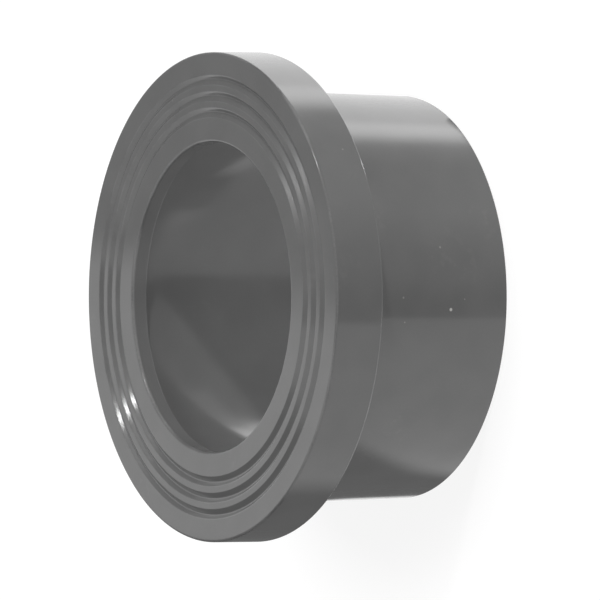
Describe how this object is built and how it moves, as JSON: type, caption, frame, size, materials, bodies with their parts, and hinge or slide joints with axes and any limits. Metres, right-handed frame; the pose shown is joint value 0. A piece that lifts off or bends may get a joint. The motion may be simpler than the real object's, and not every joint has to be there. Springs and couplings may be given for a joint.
{
  "type": "lap joint stub end",
  "caption": "Moulded plastic stub end: a flanged collar with concentric grooves in its jointing face, on a short hub with a pipe socket.",
  "frame": {"origin": "middle of the socket's mouth, on the surface that the part stands on", "axes": "+Z along the axis, from the mouth of the socket to the grooved jointing face; X and Y are alike, because the part is round"},
  "size_m": [0.09, 0.09, 0.041],
  "materials": {
    "grey_pvc": "satin"
  },
  "bodies": {
    "root": {"stub_end": "grey_pvc"}
  },
  "joints": []
}
